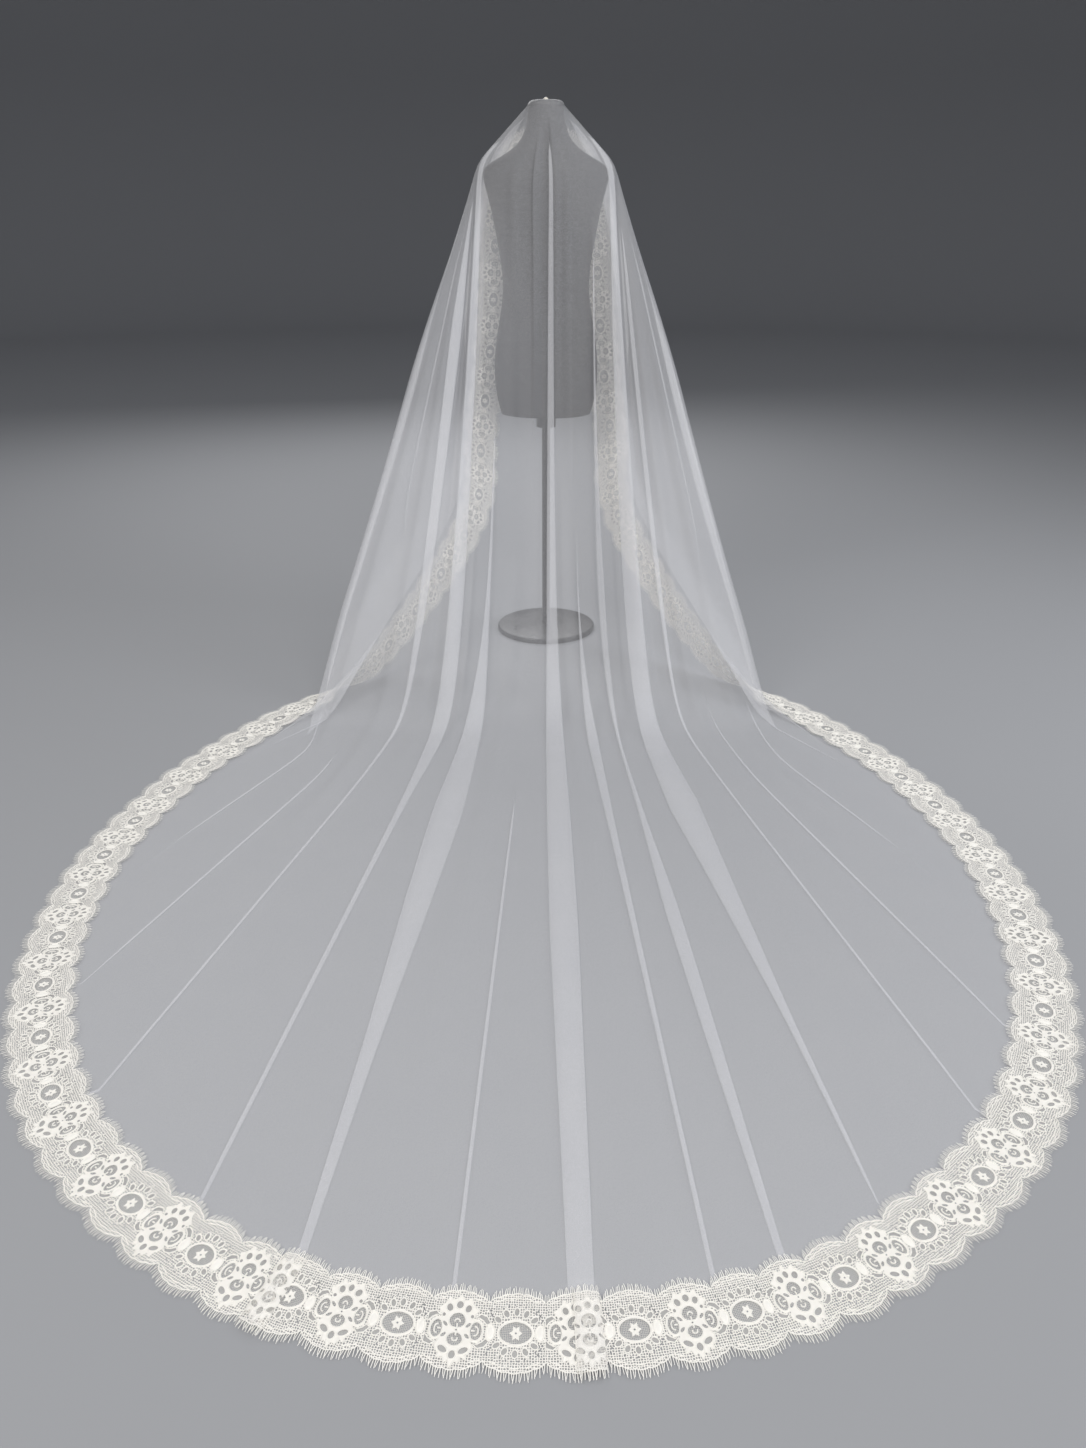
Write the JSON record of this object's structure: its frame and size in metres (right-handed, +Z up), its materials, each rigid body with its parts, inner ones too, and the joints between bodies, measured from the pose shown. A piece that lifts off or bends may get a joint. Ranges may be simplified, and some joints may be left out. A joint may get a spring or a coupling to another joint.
{
  "type": "bridal veil on a limbless dress form",
  "caption": "Cathedral-length bridal veil of sheer tulle with a wide scalloped lace border, hung over a dark limbless dress form on a pole stand, its train spread on the floor.",
  "frame": {"origin": "middle of the underside of the stand's base, on the floor", "axes": "+Z up, +X to the wearer's right, -Y along the train, +Y to the wearer's front"},
  "size_m": [2.0162, 2.7717, 1.5537],
  "materials": {
    "tulle": "sheer, soft, matte",
    "lace": "matte thread on net",
    "cream_bead": "satin",
    "form_cloth": "matte jersey",
    "cap_paint": "satin black",
    "steel": "satin black"
  },
  "bodies": {
    "root": {"tulle": "tulle", "lace_train": "lace", "lace_front_right": "lace", "lace_front_left": "lace", "pin": "cream_bead", "form_torso": "form_cloth", "form_neck_cap": "cap_paint", "form_collar": "steel", "form_pole": "steel", "form_base": "steel"}
  },
  "joints": []
}
